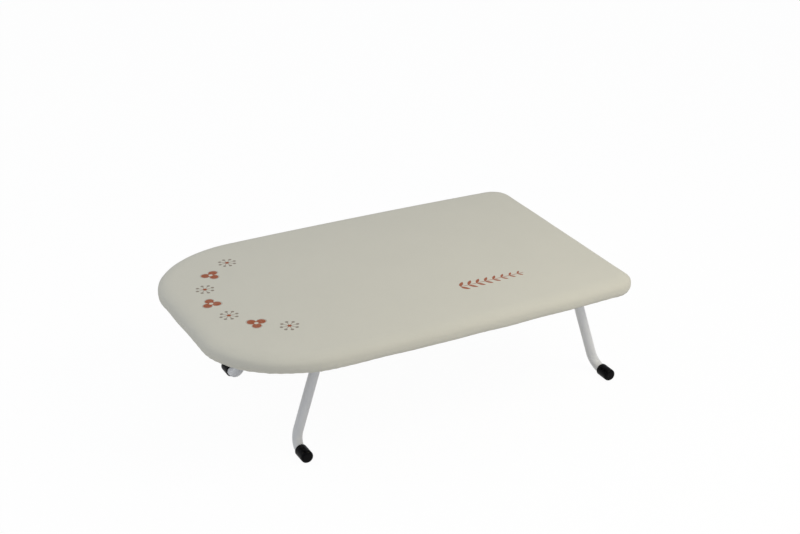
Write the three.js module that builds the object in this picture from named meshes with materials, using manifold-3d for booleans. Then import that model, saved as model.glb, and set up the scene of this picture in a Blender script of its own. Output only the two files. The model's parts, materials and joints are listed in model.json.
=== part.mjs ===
// Tabletop ironing board. A cotton cover and a foam pad lie on a steel mesh top with a tubular rim.
// Two bent tube legs turn in clips on cross rails under the top, and fold inward.
// Millimetres, +Z up. X runs from the rounded nose (-X) to the square tail (+X), Y across the board.
// The origin is on the table, under the middle of the top.

import * as THREE from "three";
import { mergeGeometries, mergeVertices } from "three/addons/utils/BufferGeometryUtils.js";
import Module from "manifold-3d";

const wasm = await Module();
wasm.setup();

// Assembly clearance between separate pieces
const gap = 0.3;

// Outline of the covered top, seen from above
const boardLength = 510;
const boardWidth = 330;
const noseReach = 123;
const noseShoulder = 103;
const tailRadius = 27;
const sideBow = 5.5;
const bowCentre = -20;

// Height of the ironing surface over the table, and the layers under it
const boardHeight = 156.5;
const coverThickness = 0.9;
const padThickness = 6;
const crown = 2;
const edgeRoll = 20;
const meshThickness = 1.2;
const rimDiameter = 12;
const rimWall = 1;

// Hem turned under the rim, with the elastic in its casing
const hemWidth = 17;
const elasticDiameter = 3;

// Expanded mesh: diamond pitch along and across, width of a strand, plain border at the rim
const meshPitchX = 48;
const meshPitchY = 26;
const meshStrand = 3;
const meshBorder = 9;
const meshOverhang = 2;

// Ferrule in the joint of the rim tube
const ferruleLength = 50;
const rimJoint = 0.6;

// Cross rails: channel section, and where each stands from the nearer end of the board
const railMargin = 2.2;
const railWall = 1.2;
const nosePivotInset = 135.5;
const tailPivotInset = 46;

// Legs: bent tube, splayed outward when open
const tubeDiameter = 12;
const tubeWall = 1;
const legSplay = THREE.MathUtils.degToRad(17.5);
const legSpread = 171;
const bendRadius = 17;
const footSpan = 244;

// Foot caps
const capDiameter = 14.8;
const capEnd = 2.7;
const capRound = 3;

// Pivot clips and leg stops
const clipInset = 14;
const clipWidth = 16;
const clipThickness = 1.5;
const clipFlange = 10;
const stopWidth = 18;
const stopThickness = 2;
const stopLength = 34;

// Rivets
const rivetDiameter = 4;
const rivetHead = 7;
const rivetHeadHeight = 2;
const rivetTail = 6;
const rivetTailHeight = 1;
const rivetMargin = 0.8;

// Heights of the layers, from the ironing surface down
const padTop = boardHeight - coverThickness - gap;
const padBottom = padTop - padThickness;
const meshBottom = padBottom - gap - meshThickness;
const rimTop = meshBottom - gap;
const rimRadius = rimDiameter / 2;
const rimZ = rimTop - rimRadius;
const rimInset = coverThickness + gap + rimRadius;
const railBottom = rimTop - rimDiameter;
const hemTop = railBottom - gap;

// Leg geometry
const tubeRadius = tubeDiameter / 2;
const pivotZ = railBottom - gap - tubeRadius;
const capRadius = capDiameter / 2;
const legLength = (pivotZ - capRadius) / Math.cos(legSplay);
const footStart = legSpread / 2 + bendRadius;
const capLength = footSpan / 2 - footStart;
const nosePivotX = -boardLength / 2 + nosePivotInset;
const rearPivotX = boardLength / 2 - tailPivotInset;

// Surfaces
const coverCloth = { color: "#c9c4b6", roughness: 0.92, metalness: 0 };
const foam = { color: "#e3dcc6", roughness: 0.95, metalness: 0 };
const elasticCord = { color: "#e9e7e2", roughness: 0.85, metalness: 0 };
const powderCoat = { color: "#c8c9c8", roughness: 0.42, metalness: 0.1 };
const meshCoat = { color: "#b9bbbc", roughness: 0.5, metalness: 0.2 };
const zinc = { color: "#a9adb0", roughness: 0.35, metalness: 0.9 };
const blackPlastic = { color: "#0e0e0f", roughness: 0.4, metalness: 0 };

const ironingBoard = new THREE.Group();
ironingBoard.name = "tabletop_ironing_board";

function piece(name, geometry, look, parent = ironingBoard) {
  const mesh = new THREE.Mesh(geometry, new THREE.MeshStandardMaterial(look));
  mesh.name = name;
  parent.add(mesh);
  return mesh;
}

// Solid cutting
function toSolid(geometry) {
  const bare = geometry.clone();
  bare.deleteAttribute("normal");
  bare.deleteAttribute("uv");
  const welded = mergeVertices(bare, 1e-4);
  const vertProperties = new Float32Array(welded.attributes.position.array);
  const triVerts = new Uint32Array(welded.index.array);
  return new wasm.Manifold(new wasm.Mesh({ numProp: 3, vertProperties, triVerts }));
}

function toGeometry(solid) {
  const mesh = solid.getMesh();
  const geometry = new THREE.BufferGeometry();
  geometry.setAttribute("position", new THREE.BufferAttribute(mesh.vertProperties, 3));
  geometry.setIndex(new THREE.BufferAttribute(mesh.triVerts, 1));
  geometry.computeVertexNormals();
  return geometry;
}

function drill(geometry, cutters) {
  let solid = toSolid(geometry);
  for (const cutter of cutters) {
    solid = solid.subtract(toSolid(cutter));
  }
  return toGeometry(solid);
}

// A section drawn in X and Z, run across the board along Y and centred on y = 0
function acrossBoard(shape, width, segments = 8) {
  const run = { depth: width, bevelEnabled: false, curveSegments: segments };
  const geometry = new THREE.ExtrudeGeometry(shape, run);
  geometry.rotateX(Math.PI / 2);
  geometry.translate(0, width / 2, 0);
  return geometry;
}

function upright(diameter, bottom, top, x, y) {
  const geometry = new THREE.CylinderGeometry(diameter / 2, diameter / 2, top - bottom, 10);
  geometry.rotateX(Math.PI / 2);
  geometry.translate(x, y, (bottom + top) / 2);
  return geometry;
}

// Outline of the covered top: tail, near side, nose, far side, back to the middle of the tail.
// The sides bow out, so the width falls off towards both ends.
function bowed(x, y) {
  const away = (x - bowCentre) / (boardLength / 2);
  return new THREE.Vector2(x, y * (1 - (2 * sideBow * away * away) / boardWidth));
}

const halfLength = boardLength / 2;
const halfWidth = boardWidth / 2;
const noseX = noseReach - halfLength;
const noseY = halfWidth - noseShoulder;
const tailX = halfLength - tailRadius;
const tailY = halfWidth - tailRadius;

function straight(x0, y0, x1, y1) {
  return (k) => bowed(x0 + (x1 - x0) * k, y0 + (y1 - y0) * k);
}

function corner(x, y, reach, shoulder, from, to) {
  return (k) => {
    const angle = from + (to - from) * k;
    return bowed(x + reach * Math.cos(angle), y + shoulder * Math.sin(angle));
  };
}

const quarter = Math.PI / 2;
const outlineRuns = [
  { facets: 2, at: straight(halfLength, 0, halfLength, -tailY) },
  { facets: 4, at: corner(tailX, -tailY, tailRadius, tailRadius, 0, -quarter) },
  { facets: 5, at: straight(tailX, -halfWidth, noseX, -halfWidth) },
  { facets: 7, at: corner(noseX, -noseY, noseReach, noseShoulder, -quarter, -2 * quarter) },
  { facets: 3, at: straight(-halfLength, -noseY, -halfLength, noseY) },
  { facets: 7, at: corner(noseX, noseY, noseReach, noseShoulder, 2 * quarter, quarter) },
  { facets: 5, at: straight(noseX, halfWidth, tailX, halfWidth) },
  { facets: 4, at: corner(tailX, tailY, tailRadius, tailRadius, quarter, 0) },
  { facets: 2, at: straight(halfLength, tailY, halfLength, 0) },
];

// Each station of the outline has its point and its inward direction
const outline = [];
for (const run of outlineRuns) {
  for (let i = 0; i < run.facets; i += 1) {
    const k = i / run.facets;
    const along = run.at(k + 1e-4).sub(run.at(k - 1e-4)).normalize();
    outline.push({ point: run.at(k), inward: new THREE.Vector2(along.y, -along.x) });
  }
}

// The outline moved inward, then drawn towards the middle by a share of itself
function ring(inset, z, share = 0) {
  return outline.map(({ point, inward }) => {
    const moved = point.clone().addScaledVector(inward, inset).multiplyScalar(1 - share);
    return new THREE.Vector3(moved.x, moved.y, z);
  });
}

// A skin through a row of rings: closed at both ends by fans, or joined end to start
function skin(rings, capped) {
  const count = rings[0].length;
  const points = rings.flat();
  const faces = [];
  const bands = capped ? rings.length - 1 : rings.length;
  for (let r = 0; r < bands; r += 1) {
    const low = r * count;
    const high = ((r + 1) % rings.length) * count;
    for (let i = 0; i < count; i += 1) {
      const j = (i + 1) % count;
      faces.push(low + i, high + j, low + j, low + i, high + i, high + j);
    }
  }
  if (capped) {
    const first = points.length;
    const last = first + 1;
    const top = (rings.length - 1) * count;
    points.push(new THREE.Vector3(0, 0, rings[0][0].z));
    points.push(new THREE.Vector3(0, 0, rings[rings.length - 1][0].z));
    for (let i = 0; i < count; i += 1) {
      const j = (i + 1) % count;
      faces.push(first, i, j, last, top + j, top + i);
    }
  }
  const geometry = new THREE.BufferGeometry();
  geometry.setFromPoints(points);
  geometry.setIndex(faces);
  geometry.computeVertexNormals();
  return geometry;
}

// A path of given stations in one plane, along which a section is run
class BentPath extends THREE.Curve {
  constructor(stations, planeNormal) {
    super();
    this.stations = stations;
    this.planeNormal = planeNormal;
  }

  getSpacedPoints() {
    return this.stations;
  }

  computeFrenetFrames() {
    const tangents = [];
    const normals = [];
    const binormals = [];
    const last = this.stations.length - 1;
    this.stations.forEach((station, i) => {
      const before = this.stations[Math.max(i - 1, 0)];
      const after = this.stations[Math.min(i + 1, last)];
      const arriving = station.clone().sub(before).normalize();
      const leaving = after.clone().sub(station).normalize();
      const tangent = arriving.add(leaving).normalize();
      tangents.push(tangent);
      normals.push(this.planeNormal.clone());
      binormals.push(tangent.clone().cross(this.planeNormal).normalize());
    });
    return { tangents, normals, binormals };
  }
}

function bentTube(stations, planeNormal, radius, wall, sides) {
  const section = new THREE.Shape().absarc(0, 0, radius, 0, 2 * Math.PI, false);
  section.holes.push(new THREE.Path().absarc(0, 0, radius - wall, 0, 2 * Math.PI, true));
  const path = new BentPath(stations, planeNormal);
  return new THREE.ExtrudeGeometry(section, {
    steps: stations.length - 1,
    curveSegments: sides / 2,
    extrudePath: path,
  });
}

// Cover: crowned top, rolled edge, tight side, hem turned under the rim, casing round the elastic
const rollZ = rimZ + rimRadius / 2;
const rollHeight = boardHeight - crown - rollZ;
const rollUpper = Math.PI / 3;
const rollLower = Math.PI / 6;

// The crown falls off from a flat middle to the start of the edge roll
const crownShares = [0.6, 0.34, 0.14, 0];
const flatShare = crownShares[0];

function crownRings(depth) {
  return crownShares.map((share) => {
    const fall = crown * (1 - share / flatShare) ** 2;
    return ring(edgeRoll, boardHeight - fall - depth, share);
  });
}

function rollPoint(depth, angle) {
  const across = (edgeRoll - depth) * Math.cos(angle);
  const up = (rollHeight - depth) * Math.sin(angle);
  return { inset: edgeRoll - across, z: rollZ + up };
}

function rollRing(depth, angle) {
  const { inset, z } = rollPoint(depth, angle);
  return ring(inset, z);
}

function underRing(depth, angle) {
  const reach = rimInset - depth;
  return ring(rimInset - reach * Math.cos(angle), rimZ - reach * Math.sin(angle));
}

function coverSkin(depth) {
  return [
    ...crownRings(depth),
    rollRing(depth, rollUpper),
    rollRing(depth, rollLower),
    rollRing(depth, 0),
    underRing(depth, 0),
    underRing(depth, quarter / 2),
    underRing(depth, quarter),
  ];
}

const casingSides = 6;
const casingWrap = THREE.MathUtils.degToRad(290);
const casingInner = (elasticDiameter / 2 + gap) / Math.cos(Math.PI / casingSides);
const casingOuter = casingInner + coverThickness;
const elasticZ = hemTop - casingOuter;

function casingRings(radius) {
  const rings = [];
  for (let i = 0; i < casingSides; i += 1) {
    const turn = quarter - (casingWrap * i) / (casingSides - 1);
    rings.push(ring(hemWidth + radius * Math.cos(turn), elasticZ + radius * Math.sin(turn)));
  }
  return rings;
}

const coverRings = [
  ...coverSkin(0),
  ...casingRings(casingInner),
  ...casingRings(casingOuter).reverse(),
  ...coverSkin(coverThickness).reverse(),
];
piece("cover", skin(coverRings.reverse(), true), coverCloth);

// Foam pad, squeezed thinner at the edge by the cover
const padDepth = coverThickness + gap;
const padLower = rollPoint(padDepth, rollLower);
const padUpper = rollPoint(padDepth, rollUpper);
const padRise = Math.max(0, (padBottom - padLower.z) / (padUpper.z - padLower.z));
const padEdge = padLower.inset + (padUpper.inset - padLower.inset) * padRise;
const padRings = [
  ring(padEdge, padBottom),
  ring(padUpper.inset, padUpper.z),
  ...crownRings(padDepth).reverse(),
];
piece("foam_pad", skin(padRings, true), foam);

// Elastic cord in the hem casing
const elasticRings = [];
for (let i = 0; i < casingSides; i += 1) {
  const turn = (2 * Math.PI * i) / casingSides + quarter;
  const across = (elasticDiameter / 2) * Math.cos(turn);
  elasticRings.push(ring(hemWidth - across, elasticZ + (elasticDiameter / 2) * Math.sin(turn)));
}
piece("elastic_cord", skin(elasticRings, false), elasticCord);

// Mesh top: sheet to just outside the middle of the rim tube, cut into diamonds
function insideOutline(x, y, border) {
  let inside = false;
  border.forEach((a, i) => {
    const b = border[(i + 1) % border.length];
    const crosses = a.y > y !== b.y > y;
    if (crosses && x < ((b.x - a.x) * (y - a.y)) / (b.y - a.y) + a.x) {
      inside = !inside;
    }
  });
  return inside;
}

const sheetEdge = ring(rimInset - meshOverhang, 0).map((p) => new THREE.Vector2(p.x, p.y));
const sheetRun = { depth: meshThickness, bevelEnabled: false };
const sheet = new THREE.ExtrudeGeometry(new THREE.Shape(sheetEdge), sheetRun);
const meshField = ring(rimInset + meshBorder, 0);
const diamondReach = (meshPitchX * meshPitchY) / (2 * Math.hypot(meshPitchX, meshPitchY));
const openShare = 1 - meshStrand / 2 / diamondReach;
const openX = (meshPitchX / 2) * openShare;
const openY = (meshPitchY / 2) * openShare;
const meshRows = Math.ceil(boardWidth / meshPitchY);
const meshColumns = Math.ceil(boardLength / meshPitchX / 2) + 1;
const diamonds = [];
for (let row = -meshRows; row <= meshRows; row += 1) {
  for (let column = -meshColumns; column <= meshColumns; column += 1) {
    const x = (column + (row % 2 === 0 ? 0 : 0.5)) * meshPitchX;
    const y = (row * meshPitchY) / 2;
    const tips = [
      new THREE.Vector2(x - openX, y),
      new THREE.Vector2(x, y - openY),
      new THREE.Vector2(x + openX, y),
      new THREE.Vector2(x, y + openY),
    ];
    if (tips.every((tip) => insideOutline(tip.x, tip.y, meshField))) {
      const cut = { depth: 3 * meshThickness, bevelEnabled: false };
      diamonds.push(new THREE.ExtrudeGeometry(new THREE.Shape(tips), cut).translate(0, 0, -meshThickness));
    }
  }
}
const meshSheet = drill(sheet, [mergeGeometries(diamonds)]);
meshSheet.translate(0, 0, meshBottom);
piece("mesh_top", meshSheet, meshCoat);

// Rim tube, one length bent round to meet itself at the middle of the tail
const rimStations = ring(rimInset, rimZ);
const rimStart = rimStations[0].clone();
const rimEnd = rimStations[0].clone();
rimStart.y -= rimJoint / 2;
rimEnd.y += rimJoint / 2;
rimStations[0] = rimStart;
rimStations.push(rimEnd);
const rimSides = 8;
const upwards = new THREE.Vector3(0, 0, 1);
piece("rim_tube", bentTube(rimStations, upwards, rimRadius, rimWall, rimSides), powderCoat);

// Ferrule across the joint of the rim tube
const ferruleRadius = (rimRadius - rimWall) * Math.cos(Math.PI / rimSides) - gap;
const ferrule = new THREE.CylinderGeometry(ferruleRadius, ferruleRadius, ferruleLength, 12);
ferrule.translate(halfLength - rimInset, 0, rimZ);
piece("rim_ferrule", ferrule, zinc);

// Rivet, standing head down; z = 0 is the face under its head
function rivet(grip) {
  const domeFacets = 3;
  const dome = [];
  for (let i = 0; i <= domeFacets; i += 1) {
    const turn = (quarter * i) / domeFacets;
    dome.push(new THREE.Vector2((rivetHead / 2) * Math.sin(turn), -rivetHeadHeight * Math.cos(turn)));
  }
  const profile = [
    ...dome,
    new THREE.Vector2(rivetDiameter / 2, 0),
    new THREE.Vector2(rivetDiameter / 2, grip),
    new THREE.Vector2(rivetTail / 2, grip),
    new THREE.Vector2(rivetTail / 2, grip + rivetTailHeight),
    new THREE.Vector2(0, grip + rivetTailHeight),
  ];
  return new THREE.LatheGeometry(profile, 10).rotateX(quarter);
}

const holeDiameter = rivetDiameter + 2 * gap;
const clipReach = tubeRadius + gap + clipThickness;
const clipEnd = clipReach + clipFlange;
const clipRivetX = clipReach + clipFlange / 2;
const clipY = legSpread / 2 - bendRadius - clipInset - clipWidth / 2;
const railWidth = 2 * (clipEnd + railMargin);
const stopCos = Math.cos(legSplay);
const stopSin = Math.sin(legSplay);

// Saddle strap round the crossbar, flat on the rail on both sides. Its origin is the pivot.
function pivotClip() {
  const bore = tubeRadius + gap;
  const shape = new THREE.Shape();
  shape.moveTo(-clipEnd, tubeRadius);
  shape.lineTo(-clipEnd, tubeRadius - clipThickness);
  shape.lineTo(-clipReach, tubeRadius - clipThickness);
  shape.lineTo(-clipReach, 0);
  shape.absarc(0, 0, clipReach, Math.PI, 2 * Math.PI, false);
  shape.lineTo(clipReach, tubeRadius - clipThickness);
  shape.lineTo(clipEnd, tubeRadius - clipThickness);
  shape.lineTo(clipEnd, tubeRadius);
  shape.lineTo(bore, tubeRadius);
  shape.lineTo(bore, 0);
  shape.absarc(0, 0, bore, 2 * Math.PI, Math.PI, true);
  shape.lineTo(-bore, tubeRadius);
  const holes = [-1, 1].map((end) => upright(holeDiameter, 0, 2 * tubeRadius, end * clipRivetX, 0));
  return drill(acrossBoard(shape, clipWidth, 5), holes);
}

// Tongue behind a leg side, lying along the splayed leg, hung from a flange on the rail.
// Its origin is the pivot; the leg leans towards -X.
const stopFace = tubeRadius + gap;
const stopBack = stopFace + stopThickness;
const stopUnder = tubeRadius - stopThickness;

function tongueX(offset, z) {
  const along = (offset * stopSin - z) / stopCos;
  return -offset * stopCos - along * stopSin;
}

const stopRivetX = rivetHead / 2 + rivetMargin - clipEnd;

function legStop() {
  const tipX = (offset) => -offset * stopCos - stopLength * stopSin;
  const tipZ = (offset) => offset * stopSin - stopLength * stopCos;
  const shape = new THREE.Shape();
  shape.moveTo(tongueX(stopFace, tubeRadius), tubeRadius);
  shape.lineTo(-clipEnd, tubeRadius);
  shape.lineTo(-clipEnd, stopUnder);
  shape.lineTo(tongueX(stopBack, stopUnder), stopUnder);
  shape.lineTo(tipX(stopBack), tipZ(stopBack));
  shape.lineTo(tipX(stopFace), tipZ(stopFace));
  return drill(acrossBoard(shape, stopWidth), [upright(holeDiameter, 0, 2 * tubeRadius, stopRivetX, 0)]);
}

// Half width of the rim's inner edge at a place along the board
function rimInnerHalf(x) {
  const inner = ring(rimInset + rimRadius + gap, 0);
  let half = halfWidth;
  inner.forEach((a, i) => {
    const b = inner[(i + 1) % inner.length];
    if (a.x > x !== b.x > x) {
      half = Math.min(half, Math.abs(a.y + ((b.y - a.y) * (x - a.x)) / (b.x - a.x)));
    }
  });
  return half;
}

// Leg tube: foot, bend, side, bend, crossbar and the same again. The crossbar is on the local Y axis.
function legStations() {
  const side = legSpread / 2;
  const tubeEnd = footSpan / 2 - capEnd - gap;
  const bendFacets = 6;
  const half = [];
  for (let i = 0; i <= bendFacets; i += 1) {
    const turn = (quarter * i) / bendFacets;
    const y = side - bendRadius + bendRadius * Math.sin(turn);
    half.push(new THREE.Vector3(0, y, -bendRadius * (1 - Math.cos(turn))));
  }
  for (let i = 0; i <= bendFacets; i += 1) {
    const turn = (quarter * i) / bendFacets;
    const y = side + bendRadius * (1 - Math.cos(turn));
    half.push(new THREE.Vector3(0, y, -legLength + bendRadius * (1 - Math.sin(turn))));
  }
  half.push(new THREE.Vector3(0, tubeEnd, -legLength));
  const mirrored = half.map((p) => new THREE.Vector3(p.x, -p.y, p.z)).reverse();
  return [...mirrored, ...half];
}

// Foot cap pushed over the end of the tube, its closed end outward along +Y, flat sides circumscribed
const capSides = 16;

function footCap() {
  const flat = 1 / Math.cos(Math.PI / capSides);
  const outer = capRadius * flat;
  const bore = (tubeRadius + gap) * flat;
  const profile = [
    new THREE.Vector2(0, capLength),
    new THREE.Vector2(outer - capRound, capLength),
    new THREE.Vector2(outer - capRound * (1 - Math.SQRT1_2), capLength - capRound * (1 - Math.SQRT1_2)),
    new THREE.Vector2(outer, capLength - capRound),
    new THREE.Vector2(outer, 0),
    new THREE.Vector2(bore, 0),
    new THREE.Vector2(bore, capLength - capEnd),
    new THREE.Vector2(0, capLength - capEnd),
  ];
  return new THREE.LatheGeometry(profile.reverse(), capSides, Math.PI / capSides);
}

// One end of the board: cross rail, clips, stops, rivets and the leg. lean is +1 towards the nose.
const sideNames = { "-1": "near", 1: "far" };

function supportEnd(end, pivotX, lean) {
  const half = railWidth / 2;
  const rail = new THREE.Shape();
  rail.moveTo(-half, railBottom);
  rail.lineTo(half, railBottom);
  rail.lineTo(half, rimTop);
  rail.lineTo(half - railWall, rimTop);
  rail.lineTo(half - railWall, railBottom + railWall);
  rail.lineTo(railWall - half, railBottom + railWall);
  rail.lineTo(railWall - half, rimTop);
  rail.lineTo(-half, rimTop);
  const railHalf = Math.min(rimInnerHalf(pivotX - half), rimInnerHalf(pivotX + half));
  const railGeometry = acrossBoard(rail, 2 * railHalf);

  const places = [];
  for (const side of [-1, 1]) {
    const place = `${end}_${sideNames[side]}`;
    const sideY = (side * legSpread) / 2;
    const clipRivet = { y: side * clipY, under: clipThickness };
    places.push({ name: `clip_rivet_${place}_out`, x: -lean * clipRivetX, ...clipRivet });
    places.push({ name: `clip_rivet_${place}_in`, x: lean * clipRivetX, ...clipRivet });
    places.push({ name: `stop_rivet_${place}`, x: lean * stopRivetX, y: sideY, under: stopThickness });

    const clip = piece(`pivot_clip_${place}`, pivotClip(), powderCoat);
    clip.position.set(pivotX, side * clipY, pivotZ);
    const stop = piece(`leg_stop_${place}`, legStop(), powderCoat);
    stop.position.set(pivotX, sideY, pivotZ);
    stop.rotation.z = lean > 0 ? 0 : Math.PI;
  }
  const holes = places.map(({ x, y }) => upright(holeDiameter, railBottom - railWall, rimTop, x, y));
  const railMesh = piece(`cross_rail_${end}`, drill(railGeometry, holes), powderCoat);
  railMesh.position.x = pivotX;

  for (const { name, x, y, under } of places) {
    const headTop = railBottom - gap - under - gap;
    const grip = railBottom + railWall + gap - headTop;
    piece(name, rivet(grip), zinc).position.set(pivotX + x, y, headTop);
  }

  const leg = new THREE.Group();
  leg.position.set(pivotX, 0, pivotZ);
  leg.rotation.y = lean * legSplay;
  ironingBoard.add(leg);
  const forward = new THREE.Vector3(1, 0, 0);
  piece(`leg_tube_${end}`, bentTube(legStations(), forward, tubeRadius, tubeWall, 10), powderCoat, leg);
  for (const side of [-1, 1]) {
    const cap = piece(`foot_cap_${end}_${sideNames[side]}`, footCap(), blackPlastic, leg);
    cap.position.set(0, side * footStart, -legLength);
    cap.rotation.y = -lean * legSplay;
    cap.rotation.z = side > 0 ? 0 : Math.PI;
  }
}

supportEnd("nose", nosePivotX, 1);
supportEnd("rear", rearPivotX, -1);

export default ironingBoard;
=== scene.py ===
# %% [markdown]
# # A tabletop ironing board
# The board is a steel mesh top in a bent tube rim, with a foam pad on it and a printed cotton cover drawn
# over both by an elastic in its hem. Two bent tube legs fold up under it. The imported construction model
# gives every place and size. This lesson dresses it: each piece gets a finer mesh and a worked-out finish.

# %% Load the construction model
import json
import math

import bmesh
import bpy
import numpy as np
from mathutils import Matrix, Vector


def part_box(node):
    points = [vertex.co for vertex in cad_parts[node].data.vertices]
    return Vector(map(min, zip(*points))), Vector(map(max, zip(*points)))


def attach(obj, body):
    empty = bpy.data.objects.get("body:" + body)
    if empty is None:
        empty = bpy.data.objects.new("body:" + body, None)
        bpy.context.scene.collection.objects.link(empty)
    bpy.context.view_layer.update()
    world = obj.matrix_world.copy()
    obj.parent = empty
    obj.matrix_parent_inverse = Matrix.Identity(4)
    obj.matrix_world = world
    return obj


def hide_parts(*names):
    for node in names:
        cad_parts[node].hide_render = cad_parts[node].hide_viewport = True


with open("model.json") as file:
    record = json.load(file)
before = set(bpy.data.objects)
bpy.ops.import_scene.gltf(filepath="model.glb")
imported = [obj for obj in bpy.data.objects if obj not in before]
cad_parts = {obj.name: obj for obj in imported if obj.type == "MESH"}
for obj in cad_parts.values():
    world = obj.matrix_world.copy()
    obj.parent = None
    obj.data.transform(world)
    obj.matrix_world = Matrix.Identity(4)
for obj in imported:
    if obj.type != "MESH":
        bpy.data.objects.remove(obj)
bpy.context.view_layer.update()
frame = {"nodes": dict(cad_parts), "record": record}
scene = bpy.context.scene
MM = 0.001

# %% [markdown]
# ## The camera
# The picture was taken from the nose end, a little above the board, with a longish lens. The stand point was
# found by laying the outline of the model over the outline in the picture. We make the camera first, so that
# every later step can be judged from the same view.

# %% Camera
def put(name, data):
    thing = bpy.data.objects.new(name, data)
    scene.collection.objects.link(thing)
    return thing


camera_data = bpy.data.cameras.new("studio_camera")
camera_data.lens = 71.69
camera_data.sensor_width = 36.0
camera = put("studio_camera", camera_data)
camera.location = (-0.7665, -1.5126, 0.9592)
camera_pitch = math.radians(25.31)
camera_turn = math.radians(-27.51)
camera.rotation_euler = (math.pi / 2 - camera_pitch, 0, camera_turn)
scene.camera = camera
scene.view_settings.view_transform = "Standard"
print("camera at", tuple(round(x, 3) for x in camera.location))

# %% [markdown]
# ## Shader nodes as sums
# A finish is a tree of small nodes. Adding one, setting its inputs and wiring it takes many lines, so one
# helper does it: inputs are given in order or by name, as a number, a colour, or what another node gives.
# Drawn patterns are long sums, so what a node gives can be added and multiplied like a number.

# %% Node helpers
class Value:
    """An output of a node. Sums with it become nodes, and square brackets give the other outputs."""

    def __init__(self, node, output=0):
        self.node = node
        self.tree = node.id_data
        self.socket = node.outputs[output] if node.outputs else None

    def __getitem__(self, output):
        return Value(self.node, output)

    def do(self, operation, *others):
        return add(self.tree, "Math", self, *others, settings={"operation": operation})

    def __add__(self, other):
        return self.do("ADD", other)

    def __sub__(self, other):
        return self.do("SUBTRACT", other)

    def __mul__(self, other):
        return self.do("MULTIPLY", other)

    def __truediv__(self, other):
        return self.do("DIVIDE", other)

    def __mod__(self, other):
        return self.do("FLOORED_MODULO", other)

    def __abs__(self):
        return self.do("ABSOLUTE")


def plug(socket, value):
    if isinstance(value, Value):
        socket.id_data.links.new(value.socket, socket)
    else:
        socket.default_value = value


def add(tree, kind, *inputs, settings=None, **named):
    """What a new node gives. An underscore in the name of an input stands for a space."""
    node = tree.nodes.new("ShaderNode" + kind)
    for key, value in (settings or {}).items():
        setattr(node, key, value)
    for socket, value in zip(node.inputs, inputs):
        plug(socket, value)
    for key, value in named.items():
        plug(node.inputs[key.replace("_", " ")], value)
    return Value(node)


def blend_colours(share, first, second):
    mix = add(share.tree, "Mix", share, settings={"data_type": "RGBA"})
    for socket, value in zip(mix.node.inputs[6:8], (first, second)):
        plug(socket, value)
    return mix[2]


# %% [markdown]
# ## Stage
# The picture has a bare white ground. A white floor that is only lit never reaches full white without too
# much light on the object, so the floor glows where the camera sees it, straight or in a reflection, and
# still takes the object's shadow. From below it is clear, so that the underside can be looked at.

# %% Floor
floor_reach = 12.0
seen_glow = 0.965
lit_paint = (0.85, 0.85, 0.85, 1)
seen_paint = (0.95, 0.95, 0.95, 1)


def new_object(name, points, faces):
    mesh = bpy.data.meshes.new(name)
    mesh.from_pydata(np.asarray(points, float).reshape(-1, 3).tolist(), [], faces)
    return put(name, mesh)


def empty_tree(owner):
    owner.use_nodes = True
    owner.node_tree.nodes.clear()
    return owner.node_tree


floor_corners = [(x * floor_reach, y * floor_reach, 0) for x, y in ((-1, -1), (1, -1), (1, 1), (-1, 1))]
floor = new_object("studio_floor", floor_corners, [(0, 1, 2, 3)])
floor_paint = bpy.data.materials.new("white_floor")
floor.data.materials.append(floor_paint)
floor_tree = empty_tree(floor_paint)
floor_path = add(floor_tree, "LightPath")
reflected = floor_path["Is Glossy Ray"].do("MAXIMUM", floor_path["Is Transmission Ray"])
seen = floor_path["Is Camera Ray"].do("MAXIMUM", reflected)
lit = add(floor_tree, "BsdfDiffuse", blend_colours(floor_path["Is Camera Ray"], lit_paint, seen_paint))
glow = add(floor_tree, "Emission", (1, 1, 1, 1), 1.0)
top_face = add(floor_tree, "MixShader", seen * seen_glow, lit, glow)
underneath = add(floor_tree, "NewGeometry")["Backfacing"]
both_faces = add(floor_tree, "MixShader", underneath, top_face, add(floor_tree, "BsdfTransparent"))
add(floor_tree, "OutputMaterial", both_faces)
print("floor", 2 * floor_reach, "m square")

# %% [markdown]
# ## Light
# Soft, slightly cool light from everywhere, a warm lamp from the front right, and a weaker, cooler one from
# the nose end. Both lamps stand close, so their light falls off along the board, as it does in the picture.
# They are set so that a colour on the top of the board renders about as it is written.

# %% World and lamps
world = bpy.data.worlds.new("white_studio")
scene.world = world
world_tree = empty_tree(world)
world_path = add(world_tree, "LightPath")
wall_seen = world_path["Is Camera Ray"].do("MAXIMUM", world_path["Is Transmission Ray"])
soft_light = add(world_tree, "Background", (0.90, 0.93, 1.0, 1), 0.615)
white_wall = add(world_tree, "Background", (1, 1, 1, 1), 1.0)
add(world_tree, "OutputWorld", add(world_tree, "MixShader", wall_seen, soft_light, white_wall))

board_middle = Vector((0, 0, 0.14))
lamp_side = 0.5


def soft_box(name, place, watts, colour):
    lamp = bpy.data.lights.new(name, "AREA")
    lamp.shape = "SQUARE"
    lamp.size = lamp_side
    lamp.energy = watts
    lamp.color = colour
    stand = put(name, lamp)
    stand.location = place
    stand.rotation_euler = (board_middle - Vector(place)).to_track_quat("-Z", "Y").to_euler()


soft_box("front_right_lamp", (0.5, -0.65, 1.0), 5.6, (1.0, 0.945, 0.78))
soft_box("nose_lamp", (-0.9, 0.2, 0.95), 1.8, (0.9, 0.96, 1.0))

# %% [markdown]
# ## Meshes from rings
# Nearly every piece here is a section carried along a line: the tubes, the rim, the cover that runs round
# the board. So the meshes are rings of points with four-sided faces between them, which shade well. Small
# helpers make the faces and turn them into a piece that rides on its body.

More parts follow.
